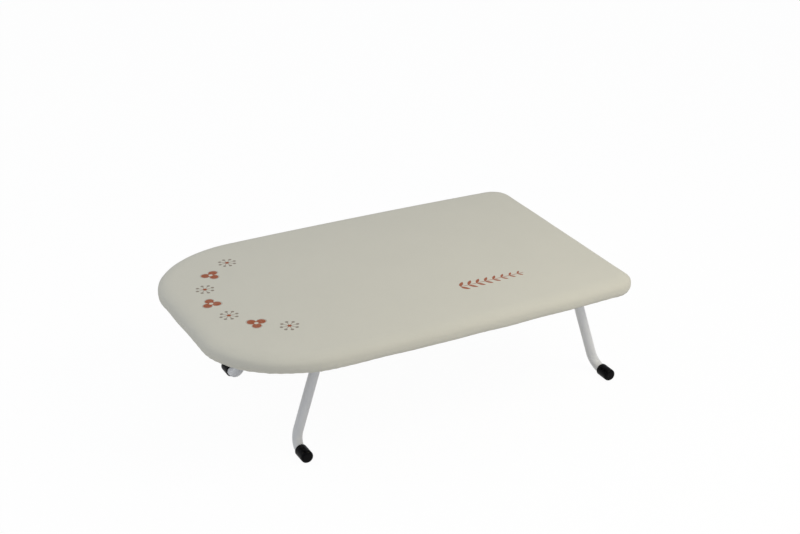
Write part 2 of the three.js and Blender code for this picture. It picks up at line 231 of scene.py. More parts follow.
# %% Mesh helpers
def band_faces(rings, stations, joined=False):
    """Four-sided faces between rings that close on themselves. Joined, the last ring meets the first."""
    faces = []
    for ring_index in range(rings if joined else rings - 1):
        inner = ring_index * stations
        outer = (ring_index + 1) % rings * stations
        for i in range(stations):
            j = (i + 1) % stations
            faces.append((inner + i, inner + j, outer + j, outer + i))
    return faces


def end_faces(rings, stations):
    last = (rings - 1) * stations
    return [tuple(reversed(range(stations))), tuple(range(last, last + stations))]


def add_piece(name, points, faces, finish, body, slot, *nodes):
    """A smooth mesh that moves with a body, takes a finish and stands for construction nodes."""
    piece = new_object(name, points, faces)
    piece.data.shade_smooth()
    piece.data.materials.append(finish)
    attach(piece, body)
    if nodes:
        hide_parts(*nodes)
    return piece


# %% [markdown]
# ## The outline of the top
# The top has a straight tail with small corners, sides that bow out a little, and a broad nose of two
# elliptical corners with a short straight tip. The line is drawn densely. Then stations are spread evenly
# along the *cut* edge of the cloth, which is longer at the corners, so the gathers there get enough points.

# %% Outline, drawn densely
cover_low, cover_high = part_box("cover")
half_length = (cover_high.x - cover_low.x) / 2
half_width = (cover_high.y - cover_low.y) / 2
nose_reach = 123 * MM
nose_shoulder = 103 * MM
tail_radius = 27 * MM
side_bow = 5.5 * MM
bow_centre = -20 * MM


def straight(x0, y0, x1, y1, share):
    return np.column_stack([x0 + (x1 - x0) * share, y0 + (y1 - y0) * share])


def corner(x, y, half_x, half_y, start, share):
    angle = math.radians(start) - math.pi / 2 * share
    return np.column_stack([x + half_x * np.cos(angle), y + half_y * np.sin(angle)])


def dense_outline(steps=500):
    share = np.arange(steps) / steps
    nose_x = nose_reach - half_length
    nose_y = half_width - nose_shoulder
    tail_x = half_length - tail_radius
    tail_y = half_width - tail_radius
    runs = [
        straight(half_length, 0, half_length, -tail_y, share),
        corner(tail_x, -tail_y, tail_radius, tail_radius, 0, share),
        straight(tail_x, -half_width, nose_x, -half_width, share),
        corner(nose_x, -nose_y, nose_reach, nose_shoulder, -90, share),
        straight(-half_length, -nose_y, -half_length, nose_y, share),
        corner(nose_x, nose_y, nose_reach, nose_shoulder, 180, share),
        straight(nose_x, half_width, tail_x, half_width, share),
        corner(tail_x, tail_y, tail_radius, tail_radius, 90, share),
        straight(half_length, tail_y, half_length, 0, share),
    ]
    line = np.concatenate(runs)
    away = (line[:, 0] - bow_centre) / half_length
    line[:, 1] *= 1 - side_bow * away**2 / half_width
    return line


print("outline", round(2 * half_length, 3), "x", round(2 * half_width, 3), "m")

# %% Stations round the outline
cut_margin = 35 * MM
cover_stations = 240


def closed(ring_points):
    """A ring of points with its first point again at the end."""
    return np.vstack([ring_points, ring_points[:1]])


def unit(directions):
    return directions / np.linalg.norm(directions, axis=-1, keepdims=True)


def arc_length(line):
    """How far along a line each of its points lies."""
    return np.concatenate([[0], np.cumsum(np.linalg.norm(np.diff(line, axis=0), axis=1))])


def points_at(line, along, at):
    """Points of a line at given lengths along it."""
    return np.column_stack([np.interp(at, along, line[:, k]) for k in range(line.shape[1])])


def inward_of(line):
    """The unit direction into the board at each point of a line that runs clockwise round it."""
    along = unit(np.roll(line, -1, 0) - np.roll(line, 1, 0))
    return np.column_stack([along[:, 1], -along[:, 0]])


def spread_stations(line):
    along = arc_length(closed(line - inward_of(line) * cut_margin))
    at = np.arange(cover_stations) / cover_stations * along[-1]
    return points_at(closed(line), along, at)


outline = spread_stations(dense_outline())
inward = inward_of(outline)


def ring(inset, height, share=0.0):
    """The outline moved inward, then drawn to the middle by a share of itself, at a height."""
    moved = (outline + inward * np.reshape(inset, (-1, 1))) * (1 - share)
    return np.column_stack([moved, np.broadcast_to(height, len(outline))])


print(len(outline), "stations round the outline")

# %% [markdown]
# ## The cover, as it is cut and drawn on
# The cover is one piece of cotton, cut wider than the board. It lies on the pad, rolls over the edge, runs
# down the rim and turns under it, where an elastic in a casing gathers its edge. That way is described once,
# in rows of a place in from the outline and a height, and carried round the board. How far each row lies
# along the cloth gives the flat cut, on which the weave and the print are laid out.

# %% Way of the cloth from the middle to the hem
rim_low, rim_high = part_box("rim_tube")
elastic_low, elastic_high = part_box("elastic_cord")
cover_top = cover_high.z
crown = 2 * MM
flat_share = 0.6
middle_share = 0.97
edge_roll = 20 * MM
cloth_room = 1.2 * MM
rim_radius = (rim_high.z - rim_low.z) / 2
rim_z = rim_low.z + rim_radius
rim_inset = rim_radius + cloth_room
roll_z = rim_z + rim_radius / 2
roll_height = cover_top - crown - roll_z
elastic_z = (elastic_low.z + elastic_high.z) / 2
elastic_inset = 17 * MM
casing_radius = 2.9 * MM
hem_end = 12.2 * MM
top_rows = 15
over_rows = 7
under_rows = 7
hem_rows = 3
casing_rows = 13


def top_way(depth):
    shares = middle_share * (1 - np.linspace(0, 1, top_rows)) ** 1.4
    fall = crown * np.maximum(0, 1 - shares / flat_share) ** 2
    return np.column_stack([np.full(top_rows, edge_roll), cover_top - fall - depth, shares])


def edge_way(depth):
    over = np.radians(np.linspace(90, 0, over_rows + 1)[1:])
    under = np.radians(np.linspace(0, 90, under_rows))
    over_inset = edge_roll - (edge_roll - depth) * np.cos(over)
    over_z = roll_z + (roll_height - depth) * np.sin(over)
    under_inset = rim_inset - (rim_inset - depth) * np.cos(under)
    under_z = rim_z - (rim_inset - depth) * np.sin(under)
    inset = np.concatenate([over_inset, under_inset])
    return np.column_stack([inset, np.concatenate([over_z, under_z]), np.zeros(len(inset))])


def hem_way():
    flat = np.linspace(rim_inset, hem_end, hem_rows + 1)[1:]
    turn = np.radians(np.linspace(150, 470, casing_rows))
    inset = np.concatenate([flat, elastic_inset + casing_radius * np.cos(turn)])
    height = np.concatenate([np.full(hem_rows, rim_z - rim_inset), elastic_z + casing_radius * np.sin(turn)])
    return np.column_stack([inset, height, np.zeros(len(inset))])


way = np.vstack([top_way(0), edge_way(0), hem_way()])
widest_ring = top_rows + over_rows - 1
under_ring = widest_ring + under_rows - 1
hem_ring = top_rows + over_rows + under_rows + hem_rows - 1
reach = arc_length(way[:, :2])
reach = np.maximum(0, reach - reach[top_rows - 1])
flat_cut = np.stack([ring(edge_roll - far, 0, share) for far, share in zip(reach, way[:, 2])])

# %% [markdown]
# ## An uneven edge
# A real cover is never quite even. The pad is cut by hand, and the elastic pulls more here and less there,
# so the edge wavers by a fraction of a millimetre. At the nose and the tail the elastic pulls hardest and
# draws it in. Seeded waves give the same unevenness in every run.

# %% Rings of the uneven cloth
wander = np.random.default_rng(7)


def full_turn(count):
    """Angles once round a circle."""
    return 2 * np.pi * np.arange(count) / count


def waver(size, fewest, most):
    """A smooth uneven line round the board, from waves with seeded phases."""
    turn = full_turn(len(outline))
    waves = range(fewest, most)
    total = sum(np.sin(k * turn + wander.uniform(0, 2 * np.pi)) / math.sqrt(k) for k in waves)
    return size * total / np.abs(total).max()


near_end = np.clip(np.abs(outline[:, 0]) / half_length * 4 - 3, 0, 1)
end_pull = 0.8 * MM * near_end**2 * (3 - 2 * near_end)
edge_waver = waver(0.35 * MM, 5, 24)
pull_waver = waver(0.8 * MM, 9, 34)


def cloth_rings(rows):
    """Rings of the cloth along its way, with the uneven edge."""
    rings = []
    for inset, height, share in rows:
        low = np.clip((roll_z + roll_height - height) / roll_height, 0, 1)
        under = np.clip((rim_z - height) / rim_inset, 0, 1)
        shift = end_pull * low + edge_waver * low * (1 - under) + pull_waver * under
        rings.append(ring(inset + shift, height, share))
    return np.stack(rings)


resting = cloth_rings(way)
print(len(resting), "rings of cloth")

# %% [markdown]
# ## Cloth that settles
# A formula alone looks moulded. So the sheet starts a little slack, with its middle and its casing held, and
# a cloth simulation draws it tight over the form of the pad and the rim. It runs at ten times the size,
# because the solver's contact distances are too coarse for a cloth this thin. Where the solver lifts the
# cloth off the form by more than the slack, it is laid back.

# %% Cloth solver
solver_scale = 10
cotton_sheet = {
    "quality": 8, "mass": 0.2, "air_damping": 5, "shrink_min": 0.01,
    "tension_stiffness": 40, "compression_stiffness": 20, "shear_stiffness": 15, "bending_stiffness": 2,
    "tension_damping": 25, "compression_damping": 25, "shear_damping": 25,
}


def draw_tight(start, held, form, frames=14, contact=0.002):
    """Draws a slack sheet tight over a form and gives its points back. Held points stay where they are."""
    rings, stations = start.shape[:2]
    sheet = new_object("slack_sheet", start * solver_scale, band_faces(rings, stations))
    pins = sheet.vertex_groups.new(name="held")
    pins.add(np.flatnonzero(np.repeat(held, stations)).tolist(), 1.0, "REPLACE")
    form_faces = band_faces(len(form), stations) + end_faces(len(form), stations)
    support = new_object("form", form * solver_scale, form_faces)
    support.modifiers.new("solid", "COLLISION")
    support.collision.thickness_outer = contact
    support.collision.cloth_friction = 2
    cloth = sheet.modifiers.new("cloth", "CLOTH")
    cloth.collision_settings.distance_min = contact
    cloth.collision_settings.collision_quality = 4
    for key, value in cotton_sheet.items():
        setattr(cloth.settings, key, value)
    cloth.settings.vertex_group_mass = "held"
    cloth.settings.effector_weights.gravity = 0
    cloth.point_cache.frame_end = frames
    for step in range(1, frames + 1):
        scene.frame_set(step)
    settled = sheet.evaluated_get(bpy.context.evaluated_depsgraph_get()).to_mesh()
    points = np.array([v.co for v in settled.vertices]).reshape(start.shape) / solver_scale
    scene.frame_set(1)
    for thing in (sheet, support):
        bpy.data.objects.remove(thing)
    return points


# %% Draw the cover tight
held_share = 0.35
slack = 0.3 * MM
most_moved = 1.5 * MM


def sheet_normals(rings):
    """The outward direction at every point of a grid of rings."""
    around = np.roll(rings, -1, 1) - np.roll(rings, 1, 1)
    return unit(np.cross(around, np.gradient(rings, axis=0)))


cover_grid = resting
free = np.clip(1 - way[:, 2] / held_share, 0, 1)
free[hem_ring:] = 0
form = cloth_rings(np.vstack([top_way(slack), edge_way(slack)]))
outward = sheet_normals(resting)
start = resting + outward * slack * free[:, None, None]
moved = draw_tight(start, free == 0, form) - resting
lift = np.sum(moved * outward, axis=2, keepdims=True)
moved = moved - outward * np.maximum(lift - slack, 0)
far = np.linalg.norm(moved, axis=2, keepdims=True)
cover_grid = resting + moved * np.minimum(1, most_moved / np.maximum(far, 1e-9))
print(f"the cloth moved {far.mean() * 1000:.2f} mm on average and {far.max() * 1000:.2f} mm at most")

# %% [markdown]
# ## Gathers under the edge
# The cut edge of the cloth is longer than the edge that it is drawn to, most of all at the corners. What is
# too long stands in folds. Simulating folds this small would take minutes, so they are laid on afterwards:
# the grid gets three new stations between every two, and each fold is as deep as the spare cloth there asks
# for. They begin faintly on the rim, are deepest at the hem, and fade out round the casing.

# %% Finer grid
def refine(grid):
    """A new station between every two round the rings, on the cubic through the four nearest."""
    after = np.roll(grid, -1, 1)
    between = (9 * (grid + after) - np.roll(grid, 1, 1) - np.roll(grid, -2, 1)) / 16
    finer = np.empty((grid.shape[0], 2 * grid.shape[1], grid.shape[2]))
    finer[:, 0::2] = grid
    finer[:, 1::2] = between
    return finer


cover_grid = refine(refine(cover_grid))
fine_cut = refine(refine(flat_cut))
fine_count = cover_grid.shape[1]
print("grid of", len(cover_grid), "rings with", fine_count, "stations")

# %% Gathers
fold_pitch = 13 * MM
deepest_fold = 2.4 * MM
least_fullness = 1.02
spread_width = 24


def smooth_steps(ring_points):
    """Lengths of the steps round a ring, evened out over their neighbours."""
    steps = np.diff(arc_length(closed(ring_points)))
    wrapped = np.concatenate([steps[-spread_width:], steps, steps[:spread_width]])
    spread = 2 * spread_width + 1
    return np.convolve(wrapped, np.ones(spread) / spread, "valid")


cloth_steps = smooth_steps(fine_cut[hem_ring])
fullness = np.maximum(cloth_steps / smooth_steps(cover_grid[hem_ring]), least_fullness)
fold_depth = fold_pitch / fullness / np.pi * np.sqrt((fullness**2 - 1) / 2)
folds = np.cumsum(cloth_steps) / fold_pitch
folds *= round(folds[-1]) / folds[-1]
fine_turn = full_turn(fine_count)
for waves in (7, 11, 19, 31):
    folds += 1.6 / waves * np.sin(waves * fine_turn + wander.uniform(0, 2 * np.pi))
    fold_depth = fold_depth * (1 + 0.16 * np.sin(3 * waves * fine_turn + wander.uniform(0, 2 * np.pi)))
fold = (0.5 - 0.5 * np.cos(2 * np.pi * folds)) ** 1.3 * np.minimum(fold_depth, deepest_fold)
under, hem = reach[under_ring], reach[hem_ring]
growth_at = [reach[widest_ring], under, under + 1.5 * MM, hem, hem + 4 * MM, reach[-1]]
fold_growth = np.interp(reach, growth_at, [0, 0.2, 0.5, 1, 0.5, 0])
cover_grid = cover_grid + sheet_normals(cover_grid) * fold_growth[:, None, None] * fold[:, None]
print(f"{round(folds[-1])} folds, up to {fold.max() * 1000:.1f} mm deep")

# %% [markdown]
# ## Finishes
# Each finish is a material with one principled shader. What is even all over a piece is set as a number.
# What varies, such as weave, grain and wear, is worked out from the place on the piece, so it needs no
# pictures and stays sharp from close by.

# %% Finish helpers
def linear(red, green, blue):
    """A colour as it is written in a paint program, 0 to 255, in the linear light that shaders use."""
    shares = [c / 255 for c in (red, green, blue)]
    light = [s / 12.92 if s <= 0.04045 else ((s + 0.055) / 1.055) ** 2.4 for s in shares]
    return (*light, 1.0)


def on_piece(material):
    return add(material.node_tree, "TexCoord")["Object"]


def remap(value, low, high, to_low, to_high):
    return add(value.tree, "MapRange", value, low, high, to_low, to_high)


def noise(place, scale, detail):
    return add(place.tree, "TexNoise", place, Scale=scale, Detail=detail)


def streaks(place, scales, detail):
    """Noise with a scale for each axis, drawn out along the smallest."""
    return noise(add(place.tree, "Mapping", place, Scale=scales), 1.0, detail)


def bump(height, distance, strength, **more):
    return add(height.tree, "Bump", Height=height, Distance=distance, Strength=strength, **more)


def dress(material, **sockets):
    """Sets sockets of a material's principled shader, or wires nodes to them."""
    shader = material.node_tree.nodes["Principled BSDF"]
    for key, value in sockets.items():
        plug(shader.inputs[key.replace("_", " ")], value)
    return material


def new_finish(name, **sockets):
    material = bpy.data.materials.new(name)
    material.use_nodes = True
    return dress(material, **sockets)


# %% [markdown]
# ## Weave
# The cover is plain cotton: warp and weft threads half a millimetre apart that pass over and under each
# other. Across, a thread is half a sine wave. Which of the two lies on top changes from each crossing to the
# next. The weave is worked out on the flat cut, so it runs over the edge as cloth does.

# %% Weave
thread_pitch = 0.55 * MM


def weave_height(along, across):
    """Height of the cloth's face: a warp or a weft thread on top, in turn."""
    turns = [place / thread_pitch for place in (along, across)]
    warp, weft = [(turn.do("FRACT") * math.pi).do("SINE") for turn in turns]
    warp_over = warp * (weft * 0.45 + 0.55)
    weft_over = weft * (warp * 0.45 + 0.55)
    weft_on_top = (turns[0].do("FLOOR") + turns[1].do("FLOOR")) % 2
    return warp_over + (weft_over - warp_over) * weft_on_top


# %% [markdown]
# ## Print
# Two inks are printed on the cotton: a garland of small leaves and seed heads round the nose, and a sprig
# near the tail. They are drawn like the weave, with distances and angles on the flat cut. One motif is drawn
# once, and the angle round the garland is folded back on itself to repeat it.

# %% Garland
garland_centre = (-112 * MM, 8 * MM)
garland_radius = 103 * MM
garland_step = math.radians(21)
garland_reach = 3
motif_radius = 12 * MM
seed_count = 8
ink_edge = 0.25 * MM
line_gap = 0.9 * MM
line_half_width = 0.25 * MM
stalk_half_width = 0.4 * MM


def inked(distance):
    """1 inside a drawn shape and 0 outside, from the distance to its edge."""
    return remap(distance, -ink_edge, ink_edge, 1.0, 0.0)


def far_out(x, y):
    return (x * x + y * y).do("SQRT")


def lobed_leaf(radius, turn):
    """Masks of a leaf with three lobes and an open eye, and of the thin line round it."""
    lobe = abs((turn * 1.5).do("COSINE")).do("POWER", 0.75)
    from_leaf = radius - (lobe * 0.72 + 0.24) * motif_radius
    eye = (radius - 0.2 * motif_radius) * -1
    leaf_line = abs(from_leaf - line_gap) - line_half_width
    return inked(from_leaf.do("MAXIMUM", eye)), inked(leaf_line)


def seed_head(radius, turn):
    """Masks of a round head, and of the seeds on stalks about it."""
    sector = 2 * math.pi / seed_count
    swing = ((turn / sector).do("FRACT") - 0.5) * sector
    out = radius * swing.do("COSINE")
    off = radius * swing.do("SINE")
    seed = far_out(out - 0.78 * motif_radius, off) - 0.16 * motif_radius
    stalk = (abs(off) - stalk_half_width).do("MAXIMUM", radius - 0.7 * motif_radius)
    return inked(radius - 0.2 * motif_radius), inked(seed.do("MINIMUM", stalk))


def garland(along, across):
    """Masks of the rust and the brown ink of the garland, in which leaves and seed heads take turns."""
    to_nose = (along - garland_centre[0]) * -1
    aside = across - garland_centre[1]
    far = far_out(to_nose, aside)
    place = aside.do("ARCTAN2", to_nose) / garland_step
    number = place.do("ROUND")
    u = (place - number) * garland_step * far
    v = far - garland_radius
    near = abs(number).do("LESS_THAN", garland_reach + 0.5)
    seeds_here = near * (number % 2)
    leaves_here = near - seeds_here
    motif = far_out(u, v), v.do("ARCTAN2", u)
    leaf, leaf_line = lobed_leaf(*motif)
    head, seeds = seed_head(*motif)
    return leaf * leaves_here + head * seeds_here, leaf_line * leaves_here + seeds * seeds_here


# %% Sprig
sprig_middle = (97 * MM, -86 * MM)
sprig_length = 84 * MM
sprig_pitch = 11 * MM
tip_size = 0.55
leaf_length = 14 * MM
leaf_half_width = 2.2 * MM
leaf_angle = math.radians(48)
stem_half_width = 0.45 * MM


def sprig(along, across):
    """Mask of a stem with pairs of leaves that grow smaller to its tip."""
    u = along - sprig_middle[0]
    v = abs(across - sprig_middle[1])
    size = remap(u, -sprig_length / 2, sprig_length / 2, 1.0, tip_size)
    root = ((u / sprig_pitch).do("FRACT") - 0.08) * sprig_pitch / size
    side = v / size
    cosine, sine = math.cos(leaf_angle), math.sin(leaf_angle)
    out = root * cosine + side * sine
    off = side * cosine - root * sine
    middle = out * (2 / leaf_length) - 1
    leaf = abs(off) + (middle * middle - 1) * leaf_half_width
    drawn = leaf.do("MINIMUM", v - stem_half_width)
    return inked(drawn.do("MAXIMUM", abs(u) - sprig_length / 2))


# %% [markdown]
# ## Printed cotton
# Threads are never quite even. Noise drawn out along the warp and along the weft makes them thicker here and
# thinner there, and the ink lies weaker on the thin ones. The weave darkens the colour between threads as
# painted shade, unevenness and a soft mottle vary its tone, and the threads stand out as a bump on the bump
# of their unevenness.

# %% Cover finish
cotton = linear(203, 200, 187)
rust_ink = linear(152, 65, 14)
brown_ink = linear(112, 94, 80)


def cover_finish():
    material = new_finish("cream_cotton", Sheen_Weight=0.06, Sheen_Roughness=0.5, Specular_IOR_Level=0.16)
    tree = material.node_tree
    cut = add(tree, "Attribute", settings={"attribute_name": "flat_cut"})["Vector"]
    split = add(tree, "SeparateXYZ", cut)
    along, across = split[0], split[1]
    threads = weave_height(along, across)
    slubs = streaks(cut, (60, 1500, 1), 2.0) + streaks(cut, (1500, 60, 1), 2.0)
    # Painted shade: the colour is darker where the weave is low, between threads; slubs and mottle are the
    # cotton's own tone.
    weave_shade_and_tone = threads * 0.06 + slubs * 0.05 + noise(cut, 14.0, 3.0) * 0.04 + 0.915
    rust, brown = garland(along, across)
    rust = rust.do("MAXIMUM", sprig(along, across))
    ink_hold = remap(slubs, 0.7, 1.3, 0.8, 1.0)
    printed = blend_colours(brown * ink_hold * 0.8, cotton, brown_ink)
    printed = blend_colours(rust * ink_hold, printed, rust_ink)
    grey_shade_and_tone = add(tree, "CombineColor", weave_shade_and_tone, weave_shade_and_tone, weave_shade_and_tone)
    colour = add(tree, "VectorMath", printed, grey_shade_and_tone, settings={"operation": "MULTIPLY"})
    rough = remap(slubs, 0.6, 1.4, 0.82, 0.95)
    face = bump(threads, 0.16 * MM, 0.55, Normal=bump(slubs, 0.06 * MM, 0.6))
    return dress(material, Base_Color=colour, Roughness=rough, Normal=face)


cream_cotton = cover_finish()
print("cover finish with", len(cream_cotton.node_tree.nodes), "nodes")

# %% [markdown]
# ## The cover piece
# The settled rings become one mesh, closed in the middle of the top by a fan of triangles. Every point keeps
# its place on the flat cut, for the finish to read. The cloth gets its thickness inward, so its outer face
# stays where it was drawn.

# %% Cover piece
def fan_faces(middle, first, stations):
    """Triangles between a middle point and the ring that starts at the first point."""
    return [(middle, first + (i + 1) % stations, first + i) for i in range(stations)]


cover_points = np.vstack([cover_grid.reshape(-1, 3), [[0, 0, cover_top]]])
cover_faces = band_faces(len(cover_grid), fine_count) + fan_faces(len(cover_points) - 1, 0, fine_count)
cover = add_piece("cotton_cover", cover_points, cover_faces, cream_cotton, "board", "cover_cloth", "cover")
cut_places = cover.data.attributes.new("flat_cut", "FLOAT_VECTOR", "POINT")
cut_places.data.foreach_set("vector", np.vstack([fine_cut.reshape(-1, 3), [[0, 0, 0]]]).ravel())
cloth_thickness = cover.modifiers.new("cloth_thickness", "SOLIDIFY")
cloth_thickness.thickness = 0.6 * MM
cloth_thickness.offset = -1
print("cover", len(cover_points), "points")

# %% [markdown]
# ## Stitches in the hem
# The casing is closed by one row of stitches. Each is a short length of thread that dips into the cloth at
# both ends. They are modelled, because the hem is the one place where someone looks closely at the sewing.

# %% Thread and stitches
stitch_pitch = 3.2 * MM
stitch_share = 0.72
thread_radius = 0.225 * MM
thread_sides = 6
stitch_profile = np.array([0.35, 0.9, 1.0, 0.9, 0.35])
stitch_rise = np.array([-0.3, 0.6, 1.0, 0.6, -0.3])


def thread_finish():
    material = new_finish("cotton_thread", Sheen_Weight=0.2, Roughness=0.75)
    fibres = noise(on_piece(material), 4000.0, 2.0)
    colour = blend_colours(fibres, linear(206, 202, 188), linear(233, 230, 220))
    return dress(material, Base_Color=colour, Normal=bump(fibres, 0.05 * MM, 0.7))


def round_section(side, up, sides):
    """A circle of points at each point of a line, spanned by the directions side and up there."""
    turn = full_turn(sides)[None, :, None]
    return np.cos(turn) * side[:, None] + np.sin(turn) * up[:, None]


def stitch_row(line, lift):
    """Short threads along a closed line, each on the side of the cloth that lift points to."""
    along = arc_length(line)
    count = round(along[-1] / stitch_pitch)
    rings = len(stitch_profile)
    stitch = band_faces(rings, thread_sides) + end_faces(rings, thread_sides)
    points, faces = [], []
    for k in range(count):
        at = (k + np.linspace(0, stitch_share, rings)) * along[-1] / count
        middle = points_at(line, along, at)
        normal = points_at(lift, along, at)
        beside = unit(np.cross(np.gradient(middle, axis=0), normal))
        middle = middle + normal * stitch_rise[:, None] * thread_radius
        section = round_section(beside, normal, thread_sides)
        points.append(middle[:, None] + section * (stitch_profile * thread_radius)[:, None, None])
        faces += [tuple(k * rings * thread_sides + i for i in face) for face in stitch]
    return np.concatenate(points), faces, count


# %% Hem stitches
stitch_ring = hem_ring + 1


def face_outward(piece):
    """Turns the faces of a closed mesh so that they all look out."""
    shape = bmesh.new()
    shape.from_mesh(piece.data)
    bmesh.ops.recalc_face_normals(shape, faces=shape.faces)
    shape.to_mesh(piece.data)
    shape.free()
    return piece


stitch_points, stitch_faces, stitch_count = stitch_row(
    closed(cover_grid[stitch_ring]), closed(sheet_normals(cover_grid)[stitch_ring])
)
stitches = add_piece("hem_stitches", stitch_points, stitch_faces, thread_finish(), "board", "cover_cloth")
face_outward(stitches)
print(stitch_count, "stitches")

# %% [markdown]
# ## Foam pad
# A sheet of open-celled foam takes up the unevenness of the mesh. The pull of the cover rounds its top edge,
# and its weight lets it sag a little into the diamonds of the mesh. It follows the same uneven edge as the
# cloth, so the two never cross. A voxel remesh would lose the shallow pillows, so it is made of rings too.

# %% Foam rings
pad_low, pad_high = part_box("foam_pad")
diamond_length = 48 * MM
diamond_width = 26 * MM
pillow_depth = 0.7 * MM
pad_under_rows = 42
sagging_rows = 40
pad_edge = edge_way(cloth_room)
pad_edge = pad_edge[pad_edge[:, 1] > pad_low.z]
pad_under = np.tile([pad_edge[-1, 0], pad_low.z, 0.0], (pad_under_rows, 1))
pad_under[:, 2] = np.linspace(0, middle_share, pad_under_rows)
pad_grid = cloth_rings(np.vstack([top_way(cloth_room), pad_edge, pad_under]))


def sag_into_diamonds(grid):
    """Lowers points between the strands of the mesh, most in the middle of each diamond."""
    along = grid[..., 0] / diamond_length
    across = grid[..., 1] / diamond_width
    pillow = np.cos(np.pi * (along + across)) ** 2 * np.cos(np.pi * (along - across)) ** 2
    grid[..., 2] -= pillow_depth * pillow


sag_into_diamonds(pad_grid[-sagging_rows:])
print("foam sags", pillow_depth * 1000, "mm into the mesh")

# %% Foam layer
def foam_finish():
    material = new_finish("cream_foam", Roughness=0.95, Specular_IOR_Level=0.15, Sheen_Weight=0.1)
    place = on_piece(material)
    pores = add(place.tree, "TexVoronoi", place, Scale=1100.0)["Distance"]
    cells = remap(pores, 0.1, 0.6, 0.0, 1.0)
    # Painted shade: the pores are coloured darker than the foam, as shade in their hollows.
    foam_with_pore_shade = blend_colours(cells, linear(150, 138, 104), linear(228, 220, 196))
    ageing = remap(noise(place, 25.0, 3.0), 0.4, 0.7, 0.0, 0.45)
    colour = blend_colours(ageing, foam_with_pore_shade, linear(214, 196, 150))
    return dress(material, Base_Color=colour, Normal=bump(cells, 0.35 * MM, 0.8))


pad_points = np.vstack([pad_grid.reshape(-1, 3), [[0, 0, pad_high.z], [0, 0, pad_low.z]]])
top_middle = len(pad_points) - 2
under_middle = len(pad_points) - 1
last_ring = (len(pad_grid) - 1) * cover_stations
pad_faces = band_faces(len(pad_grid), cover_stations) + fan_faces(top_middle, 0, cover_stations)
pad_faces += [face[::-1] for face in fan_faces(under_middle, last_ring, cover_stations)]
foam_layer = add_piece("foam_layer", pad_points, pad_faces, foam_finish(), "board", "foam", "foam_pad")
print("foam layer", len(pad_points), "points")

# %% [markdown]
# ## Elastic in the hem
# A round braided cord, three millimetres thick, in the casing. It shows only where the casing gapes. The
# strands of a braid cross in small diamonds. Cells with distances counted along the axes come near that.

# %% Hem elastic
cord_sides = 14


def elastic_finish():
    material = new_finish("braided_elastic", Roughness=0.8, Sheen_Weight=0.25)
    place = on_piece(material)
    cells = add(place.tree, "TexVoronoi", place, Scale=1400.0, settings={"distance": "MANHATTAN"})
    braid_relief_and_shade = cells["Distance"]
    # Painted shade: the colour darkens towards the cell edges, as shade in the grooves between the strands.
    colour = blend_colours(braid_relief_and_shade, linear(236, 234, 228), linear(190, 186, 176))
    return dress(material, Base_Color=colour, Normal=bump(braid_relief_and_shade, 0.3 * MM, 0.8))


elastic_radius = (elastic_high.z - elastic_low.z) / 2
cord_turn = full_turn(cord_sides)
cord_inset = elastic_inset + elastic_radius * np.cos(cord_turn)
cord_height = elastic_z + elastic_radius * np.sin(cord_turn)
cord = cloth_rings(np.column_stack([cord_inset, cord_height, np.zeros(cord_sides)]))
cord_faces = band_faces(cord_sides, cover_stations, joined=True)
braided = elastic_finish()
face_outward(add_piece("hem_elastic", cord, cord_faces, braided, "board", "elastic", "elastic_cord"))
print("elastic", round(2 * elastic_radius * 1000, 1), "mm thick")

# %% [markdown]
# ## Painted steel
# The tubes and the bent strips are powder coated in pale grey-white, and the mesh in grey: a baked coat with
# a fine orange-peel surface, here fine noise. It has a few dull scuffs where the legs are folded and set
# down: scratches of drawn-out noise, kept only inside broad clouds.

# %% Powder coat
def powder_coat_finish(name, colour, scuffed):
    material = new_finish(name, Specular_IOR_Level=0.5)
    place = on_piece(material)
    cloud = noise(place, 30.0, 4.0)
    scratch = remap(streaks(place, (900, 60, 900), 3.0), 0.55, 0.7, 0.0, 1.0)
    scuffs = remap(cloud, 0.52, 0.72, 0.0, 1.0) * scratch
    coat = blend_colours(scuffs * 0.25, colour, scuffed)
    rough = remap(cloud, 0.3, 0.7, 0.3, 0.42) + scuffs * 0.25
    peel = bump(noise(place, 900.0, 1.0), 0.12 * MM, 0.25)
    return dress(material, Base_Color=coat, Roughness=rough, Normal=peel)


powder_coat = powder_coat_finish("pale_powder_coat", linear(215, 215, 215), linear(140, 140, 140))
mesh_coat = powder_coat_finish("grey_mesh_coat", linear(190, 192, 193), linear(120, 121, 122))
print("coats", powder_coat.name, mesh_coat.name)

# %% [markdown]
# ## Zinc and plastic
# The rivets and the ferrule are zinc plated, with a faint spangle of crystals. The foot caps are moulded in
# black plastic with a fine grain, and are worn and dusty on the face that stands on the table.

# %% Zinc and plastic
def zinc_finish():
    material = new_finish("bright_zinc", Metallic=1.0)
    place = on_piece(material)
    spangle = add(place.tree, "TexVoronoi", place, Scale=420.0)["Color"]
    crystal = add(place.tree, "SeparateColor", spangle)
    dull = noise(place, 120.0, 4.0)
    colour = blend_colours(crystal, linear(176, 180, 184), linear(206, 208, 210))
    rough = remap(dull, 0.3, 0.7, 0.24, 0.46)
    return dress(material, Base_Color=colour, Roughness=rough, Normal=bump(dull, 0.1 * MM, 0.2))


def black_plastic_finish():
    material = new_finish("moulded_black", Specular_IOR_Level=0.07)
    place = on_piece(material)
    dust = noise(place, 160.0, 5.0)
    upward = add(place.tree, "SeparateXYZ", add(place.tree, "NewGeometry")["Normal"])[2]
    worn = remap(upward, -0.8, -0.98, 0.0, 1.0) * remap(dust, 0.4, 0.6, 0.2, 1.0)
    colour = blend_colours(worn, linear(5, 5, 6), linear(46, 45, 43))
    rough = remap(dust, 0.3, 0.7, 0.3, 0.45)
    grain = bump(noise(place, 1600.0, 2.0), 0.08 * MM, 0.35)
    return dress(material, Base_Color=colour, Roughness=rough, Normal=grain)


bright_zinc = zinc_finish()
black_plastic = black_plastic_finish()
print("finishes", bright_zinc.name, black_plastic.name)

